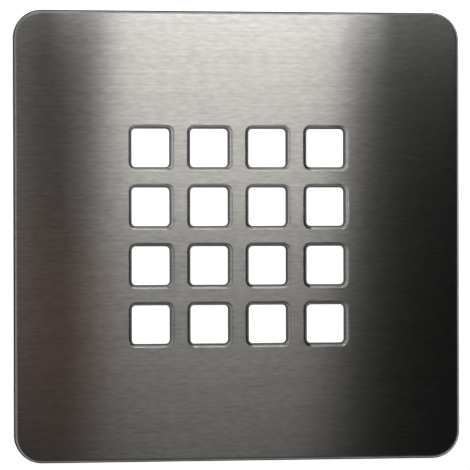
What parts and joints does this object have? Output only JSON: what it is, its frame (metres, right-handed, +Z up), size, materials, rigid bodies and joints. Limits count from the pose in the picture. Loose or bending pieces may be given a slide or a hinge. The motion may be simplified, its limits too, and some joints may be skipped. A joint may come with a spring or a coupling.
{
  "type": "floor drain grate",
  "caption": "Square brushed stainless drain cover with rounded corners and a field of square water holes, standing on screw-adjusted levelling feet.",
  "frame": {"origin": "on the floor, under the middle of the plate", "axes": "+Z up through the plate, +X to the right and +Y to the back along the plate's sides"},
  "size_m": [0.13, 0.13, 0.0214],
  "materials": {
    "plate": "stainless steel with a fine straight brush grain, rounded edges",
    "steel": "turned stainless steel",
    "brass": "turned brass",
    "nylon": "moulded black nylon, fine matt texture",
    "rubber": "matt dark grey rubber"
  },
  "bodies": {
    "cover": {"cover_plate": "plate", "weld_stud_front_left": "steel", "weld_stud_front_right": "steel", "weld_stud_back_left": "steel", "weld_stud_back_right": "steel"},
    "pad_front_left": {"foot_pad_front_left": "rubber"},
    "foot_front_left": {"foot_body_front_left": "nylon", "thread_insert_front_left": "brass"},
    "washer_front_left": {"lock_washer_front_left": "steel"},
    "nut_front_left": {"lock_nut_front_left": "steel"},
    "pad_front_right": {"foot_pad_front_right": "rubber"},
    "foot_front_right": {"foot_body_front_right": "nylon", "thread_insert_front_right": "brass"},
    "washer_front_right": {"lock_washer_front_right": "steel"},
    "nut_front_right": {"lock_nut_front_right": "steel"},
    "pad_back_left": {"foot_pad_back_left": "rubber"},
    "foot_back_left": {"foot_body_back_left": "nylon", "thread_insert_back_left": "brass"},
    "washer_back_left": {"lock_washer_back_left": "steel"},
    "nut_back_left": {"lock_nut_back_left": "steel"},
    "pad_back_right": {"foot_pad_back_right": "rubber"},
    "foot_back_right": {"foot_body_back_right": "nylon", "thread_insert_back_right": "brass"},
    "washer_back_right": {"lock_washer_back_right": "steel"},
    "nut_back_right": {"lock_nut_back_right": "steel"}
  },
  "joints": [
    {"name": "foot_slide_front_left", "type": "slide", "parent": "cover", "child": "pad_front_left", "axis": [0, 0, 1], "range_m": [-0.002, 0.0016]},
    {"name": "foot_turn_front_left", "type": "hinge", "parent": "pad_front_left", "child": "foot_front_left", "pos_m": [-0.049, -0.049, 0.0026], "axis": [0, 0, 1], "range_deg": [-1260, 1080]},
    {"name": "washer_slide_front_left", "type": "slide", "parent": "foot_front_left", "child": "washer_front_left", "axis": [0, 0, 1], "range_m": [0, 0.0004]},
    {"name": "nut_turn_front_left", "type": "hinge", "parent": "washer_front_left", "child": "nut_front_left", "pos_m": [-0.049, -0.049, 0.0124], "axis": [0, 0, 1], "range_deg": [-180, 360]},
    {"name": "foot_slide_front_right", "type": "slide", "parent": "cover", "child": "pad_front_right", "axis": [0, 0, 1], "range_m": [-0.002, 0.0016]},
    {"name": "foot_turn_front_right", "type": "hinge", "parent": "pad_front_right", "child": "foot_front_right", "pos_m": [0.049, -0.049, 0.0026], "axis": [0, 0, 1], "range_deg": [-1260, 1080]},
    {"name": "washer_slide_front_right", "type": "slide", "parent": "foot_front_right", "child": "washer_front_right", "axis": [0, 0, 1], "range_m": [0, 0.0004]},
    {"name": "nut_turn_front_right", "type": "hinge", "parent": "washer_front_right", "child": "nut_front_right", "pos_m": [0.049, -0.049, 0.0124], "axis": [0, 0, 1], "range_deg": [-180, 360]},
    {"name": "foot_slide_back_left", "type": "slide", "parent": "cover", "child": "pad_back_left", "axis": [0, 0, 1], "range_m": [-0.002, 0.0016]},
    {"name": "foot_turn_back_left", "type": "hinge", "parent": "pad_back_left", "child": "foot_back_left", "pos_m": [-0.049, 0.049, 0.0026], "axis": [0, 0, 1], "range_deg": [-1260, 1080]},
    {"name": "washer_slide_back_left", "type": "slide", "parent": "foot_back_left", "child": "washer_back_left", "axis": [0, 0, 1], "range_m": [0, 0.0004]},
    {"name": "nut_turn_back_left", "type": "hinge", "parent": "washer_back_left", "child": "nut_back_left", "pos_m": [-0.049, 0.049, 0.0124], "axis": [0, 0, 1], "range_deg": [-180, 360]},
    {"name": "foot_slide_back_right", "type": "slide", "parent": "cover", "child": "pad_back_right", "axis": [0, 0, 1], "range_m": [-0.002, 0.0016]},
    {"name": "foot_turn_back_right", "type": "hinge", "parent": "pad_back_right", "child": "foot_back_right", "pos_m": [0.049, 0.049, 0.0026], "axis": [0, 0, 1], "range_deg": [-1260, 1080]},
    {"name": "washer_slide_back_right", "type": "slide", "parent": "foot_back_right", "child": "washer_back_right", "axis": [0, 0, 1], "range_m": [0, 0.0004]},
    {"name": "nut_turn_back_right", "type": "hinge", "parent": "washer_back_right", "child": "nut_back_right", "pos_m": [0.049, 0.049, 0.0124], "axis": [0, 0, 1], "range_deg": [-180, 360]}
  ],
  "couplings": [
    {"joint": "foot_turn_front_left", "follows": "foot_slide_front_left", "rad_per_m": 7854},
    {"joint": "nut_turn_front_left", "follows": "washer_slide_front_left", "rad_per_m": 7854},
    {"joint": "foot_turn_front_right", "follows": "foot_slide_front_right", "rad_per_m": 7854},
    {"joint": "nut_turn_front_right", "follows": "washer_slide_front_right", "rad_per_m": 7854},
    {"joint": "foot_turn_back_left", "follows": "foot_slide_back_left", "rad_per_m": 7854},
    {"joint": "nut_turn_back_left", "follows": "washer_slide_back_left", "rad_per_m": 7854},
    {"joint": "foot_turn_back_right", "follows": "foot_slide_back_right", "rad_per_m": 7854},
    {"joint": "nut_turn_back_right", "follows": "washer_slide_back_right", "rad_per_m": 7854}
  ]
}
